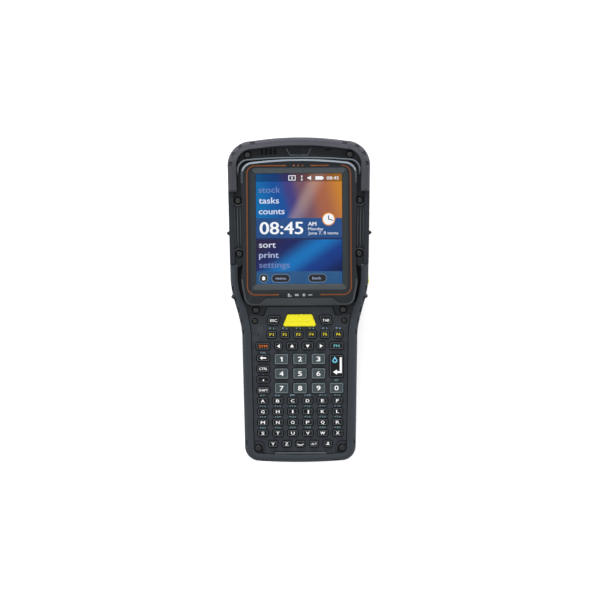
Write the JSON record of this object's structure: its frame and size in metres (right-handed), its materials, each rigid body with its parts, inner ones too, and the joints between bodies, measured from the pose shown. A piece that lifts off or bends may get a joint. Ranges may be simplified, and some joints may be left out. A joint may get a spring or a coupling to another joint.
{
  "type": "portable barcode data terminal",
  "caption": "Rugged handheld data terminal: tall touch display in a wide head, full keypad on a narrower grip, rubber boots, scanner at the top end, battery pack and strap foot behind.",
  "frame": {"origin": "middle of the lowest plane of the bounding box, on the surface that the terminal lies on", "axes": "+Z out of the display, +Y from the grip towards the scanner end, +X to the right as seen from the front"},
  "size_m": [0.0996, 0.224, 0.044],
  "materials": {
    "housing_plastic": "fine spark texture, dark blue-grey",
    "frame_plastic": "fine spark texture, charcoal",
    "bezel_plastic": "satin black-grey with an orange line",
    "plate_plastic": "satin charcoal",
    "boot_upper_rubber": "soft mid grey, slightly violet",
    "boot_lower_rubber": "soft slate grey",
    "pod_plastic": "satin mid grey",
    "scan_glass": "dark red filter glass",
    "panel_glass": "clear touch panel",
    "gasket_foam": "black foam",
    "lcd": "lit colour display",
    "engine_metal": "bead-blasted",
    "speaker_metal": "dark",
    "board": "green solder mask",
    "contact_block": "black with gold contacts",
    "battery_plastic": "spark texture",
    "yellow_plastic": "signal yellow",
    "insert_brass": "knurled",
    "screw_steel": "black oxide",
    "key_black": "satin black with printed legend",
    "key_grey": "satin grey-green with printed legend"
  },
  "bodies": {
    "terminal": {"rear_housing": "housing_plastic", "strap_foot": "housing_plastic", "mid_frame": "frame_plastic", "display_bezel": "bezel_plastic", "keypad_plate": "plate_plastic", "boot_upper": "boot_upper_rubber", "boot_lower": "boot_lower_rubber", "scanner_pod": "pod_plastic", "scanner_window": "scan_glass", "scan_engine": "engine_metal", "touch_panel": "panel_glass", "display_gasket": "gasket_foam", "lcd_module": "lcd", "speaker": "speaker_metal", "main_board": "board", "keypad_board": "board", "battery_contacts": "contact_block", "dock_connector": "contact_block", "accessory_inserts": "insert_brass", "front_screws": "screw_steel", "rear_screws": "screw_steel"},
    "battery_pack": {"battery_pack": "battery_plastic"},
    "battery_latch": {"battery_latch": "yellow_plastic"},
    "side_button_left": {"side_button_left": "yellow_plastic"},
    "side_button_right": {"side_button_right": "yellow_plastic"},
    "key_scan": {"key_scan": "yellow_plastic"},
    "key_esc": {"key_esc": "key_black"},
    "key_tab": {"key_tab": "key_black"},
    "key_f1": {"key_f1": "key_black"},
    "key_f2": {"key_f2": "key_black"},
    "key_f3": {"key_f3": "key_black"},
    "key_f4": {"key_f4": "key_black"},
    "key_f5": {"key_f5": "key_black"},
    "key_f6": {"key_f6": "key_black"},
    "key_sym": {"key_sym": "key_black"},
    "key_left": {"key_left": "key_black"},
    "key_up": {"key_up": "key_black"},
    "key_down": {"key_down": "key_black"},
    "key_right": {"key_right": "key_black"},
    "key_fn": {"key_fn": "key_black"},
    "key_backspace": {"key_backspace": "key_black"},
    "key_ctrl": {"key_ctrl": "key_black"},
    "key_dot": {"key_dot": "key_black"},
    "key_shift": {"key_shift": "key_black"},
    "key_1": {"key_1": "key_grey"},
    "key_2": {"key_2": "key_grey"},
    "key_3": {"key_3": "key_grey"},
    "key_4": {"key_4": "key_grey"},
    "key_5": {"key_5": "key_grey"},
    "key_6": {"key_6": "key_grey"},
    "key_7": {"key_7": "key_grey"},
    "key_8": {"key_8": "key_grey"},
    "key_9": {"key_9": "key_grey"},
    "key_0": {"key_0": "key_grey"},
    "key_enter": {"key_enter": "key_black"},
    "keys_row_a": {"keys_row_a": "key_black"},
    "keys_row_g": {"keys_row_g": "key_black"},
    "keys_row_m": {"keys_row_m": "key_black"},
    "keys_row_s": {"keys_row_s": "key_black"},
    "keys_row_y": {"keys_row_y": "key_black"}
  },
  "joints": [
    {"name": "battery_swing", "type": "hinge", "parent": "terminal", "child": "battery_pack", "pos_m": [0, -0.0922, 0.0106], "axis": [-1, 0, 0], "range_deg": [0, 20]},
    {"name": "latch_slide", "type": "slide", "parent": "terminal", "child": "battery_latch", "axis": [0, 1, 0], "range_m": [0, 0.003], "stiffness_N_per_m": 400, "springref_m": -0.001},
    {"name": "button_left_press", "type": "slide", "parent": "terminal", "child": "side_button_left", "axis": [1, 0, 0], "range_m": [0, 0.0008], "stiffness_N_per_m": 1500, "springref_m": -0.0004},
    {"name": "button_right_press", "type": "slide", "parent": "terminal", "child": "side_button_right", "axis": [-1, 0, 0], "range_m": [0, 0.0008], "stiffness_N_per_m": 1500, "springref_m": -0.0004},
    {"name": "key_scan_press", "type": "slide", "parent": "terminal", "child": "key_scan", "axis": [0, 0, -1], "range_m": [0, 0.001], "stiffness_N_per_m": 1200, "springref_m": -0.0003},
    {"name": "key_enter_press", "type": "slide", "parent": "terminal", "child": "key_enter", "axis": [0, 0, -1], "range_m": [0, 0.001], "stiffness_N_per_m": 1200, "springref_m": -0.0003},
    {"name": "keys_row_a_press", "type": "slide", "parent": "terminal", "child": "keys_row_a", "axis": [0, 0, -1], "range_m": [0, 0.001], "stiffness_N_per_m": 1200, "springref_m": -0.0003},
    {"name": "keys_row_g_press", "type": "slide", "parent": "terminal", "child": "keys_row_g", "axis": [0, 0, -1], "range_m": [0, 0.001], "stiffness_N_per_m": 1200, "springref_m": -0.0003},
    {"name": "keys_row_m_press", "type": "slide", "parent": "terminal", "child": "keys_row_m", "axis": [0, 0, -1], "range_m": [0, 0.001], "stiffness_N_per_m": 1200, "springref_m": -0.0003},
    {"name": "keys_row_s_press", "type": "slide", "parent": "terminal", "child": "keys_row_s", "axis": [0, 0, -1], "range_m": [0, 0.001], "stiffness_N_per_m": 1200, "springref_m": -0.0003},
    {"name": "keys_row_y_press", "type": "slide", "parent": "terminal", "child": "keys_row_y", "axis": [0, 0, -1], "range_m": [0, 0.001], "stiffness_N_per_m": 1200, "springref_m": -0.0003},
    {"name": "key_0_press", "type": "slide", "parent": "terminal", "child": "key_0", "axis": [0, 0, -1], "range_m": [0, 0.001], "stiffness_N_per_m": 1200, "springref_m": -0.0003},
    {"name": "key_1_press", "type": "slide", "parent": "terminal", "child": "key_1", "axis": [0, 0, -1], "range_m": [0, 0.001], "stiffness_N_per_m": 1200, "springref_m": -0.0003},
    {"name": "key_2_press", "type": "slide", "parent": "terminal", "child": "key_2", "axis": [0, 0, -1], "range_m": [0, 0.001], "stiffness_N_per_m": 1200, "springref_m": -0.0003},
    {"name": "key_3_press", "type": "slide", "parent": "terminal", "child": "key_3", "axis": [0, 0, -1], "range_m": [0, 0.001], "stiffness_N_per_m": 1200, "springref_m": -0.0003},
    {"name": "key_4_press", "type": "slide", "parent": "terminal", "child": "key_4", "axis": [0, 0, -1], "range_m": [0, 0.001], "stiffness_N_per_m": 1200, "springref_m": -0.0003},
    {"name": "key_5_press", "type": "slide", "parent": "terminal", "child": "key_5", "axis": [0, 0, -1], "range_m": [0, 0.001], "stiffness_N_per_m": 1200, "springref_m": -0.0003},
    {"name": "key_6_press", "type": "slide", "parent": "terminal", "child": "key_6", "axis": [0, 0, -1], "range_m": [0, 0.001], "stiffness_N_per_m": 1200, "springref_m": -0.0003},
    {"name": "key_7_press", "type": "slide", "parent": "terminal", "child": "key_7", "axis": [0, 0, -1], "range_m": [0, 0.001], "stiffness_N_per_m": 1200, "springref_m": -0.0003},
    {"name": "key_8_press", "type": "slide", "parent": "terminal", "child": "key_8", "axis": [0, 0, -1], "range_m": [0, 0.001], "stiffness_N_per_m": 1200, "springref_m": -0.0003},
    {"name": "key_9_press", "type": "slide", "parent": "terminal", "child": "key_9", "axis": [0, 0, -1], "range_m": [0, 0.001], "stiffness_N_per_m": 1200, "springref_m": -0.0003},
    {"name": "key_esc_press", "type": "slide", "parent": "terminal", "child": "key_esc", "axis": [0, 0, -1], "range_m": [0, 0.001], "stiffness_N_per_m": 1200, "springref_m": -0.0003},
    {"name": "key_tab_press", "type": "slide", "parent": "terminal", "child": "key_tab", "axis": [0, 0, -1], "range_m": [0, 0.001], "stiffness_N_per_m": 1200, "springref_m": -0.0003},
    {"name": "key_sym_press", "type": "slide", "parent": "terminal", "child": "key_sym", "axis": [0, 0, -1], "range_m": [0, 0.001], "stiffness_N_per_m": 1200, "springref_m": -0.0003},
    {"name": "key_fn_press", "type": "slide", "parent": "terminal", "child": "key_fn", "axis": [0, 0, -1], "range_m": [0, 0.001], "stiffness_N_per_m": 1200, "springref_m": -0.0003},
    {"name": "key_left_press", "type": "slide", "parent": "terminal", "child": "key_left", "axis": [0, 0, -1], "range_m": [0, 0.001], "stiffness_N_per_m": 1200, "springref_m": -0.0003},
    {"name": "key_up_press", "type": "slide", "parent": "terminal", "child": "key_up", "axis": [0, 0, -1], "range_m": [0, 0.001], "stiffness_N_per_m": 1200, "springref_m": -0.0003},
    {"name": "key_down_press", "type": "slide", "parent": "terminal", "child": "key_down", "axis": [0, 0, -1], "range_m": [0, 0.001], "stiffness_N_per_m": 1200, "springref_m": -0.0003},
    {"name": "key_right_press", "type": "slide", "parent": "terminal", "child": "key_right", "axis": [0, 0, -1], "range_m": [0, 0.001], "stiffness_N_per_m": 1200, "springref_m": -0.0003},
    {"name": "key_f1_press", "type": "slide", "parent": "terminal", "child": "key_f1", "axis": [0, 0, -1], "range_m": [0, 0.001], "stiffness_N_per_m": 1200, "springref_m": -0.0003},
    {"name": "key_f2_press", "type": "slide", "parent": "terminal", "child": "key_f2", "axis": [0, 0, -1], "range_m": [0, 0.001], "stiffness_N_per_m": 1200, "springref_m": -0.0003},
    {"name": "key_f3_press", "type": "slide", "parent": "terminal", "child": "key_f3", "axis": [0, 0, -1], "range_m": [0, 0.001], "stiffness_N_per_m": 1200, "springref_m": -0.0003},
    {"name": "key_f4_press", "type": "slide", "parent": "terminal", "child": "key_f4", "axis": [0, 0, -1], "range_m": [0, 0.001], "stiffness_N_per_m": 1200, "springref_m": -0.0003},
    {"name": "key_f5_press", "type": "slide", "parent": "terminal", "child": "key_f5", "axis": [0, 0, -1], "range_m": [0, 0.001], "stiffness_N_per_m": 1200, "springref_m": -0.0003},
    {"name": "key_f6_press", "type": "slide", "parent": "terminal", "child": "key_f6", "axis": [0, 0, -1], "range_m": [0, 0.001], "stiffness_N_per_m": 1200, "springref_m": -0.0003},
    {"name": "key_backspace_press", "type": "slide", "parent": "terminal", "child": "key_backspace", "axis": [0, 0, -1], "range_m": [0, 0.001], "stiffness_N_per_m": 1200, "springref_m": -0.0003},
    {"name": "key_ctrl_press", "type": "slide", "parent": "terminal", "child": "key_ctrl", "axis": [0, 0, -1], "range_m": [0, 0.001], "stiffness_N_per_m": 1200, "springref_m": -0.0003},
    {"name": "key_dot_press", "type": "slide", "parent": "terminal", "child": "key_dot", "axis": [0, 0, -1], "range_m": [0, 0.001], "stiffness_N_per_m": 1200, "springref_m": -0.0003},
    {"name": "key_shift_press", "type": "slide", "parent": "terminal", "child": "key_shift", "axis": [0, 0, -1], "range_m": [0, 0.001], "stiffness_N_per_m": 1200, "springref_m": -0.0003}
  ]
}
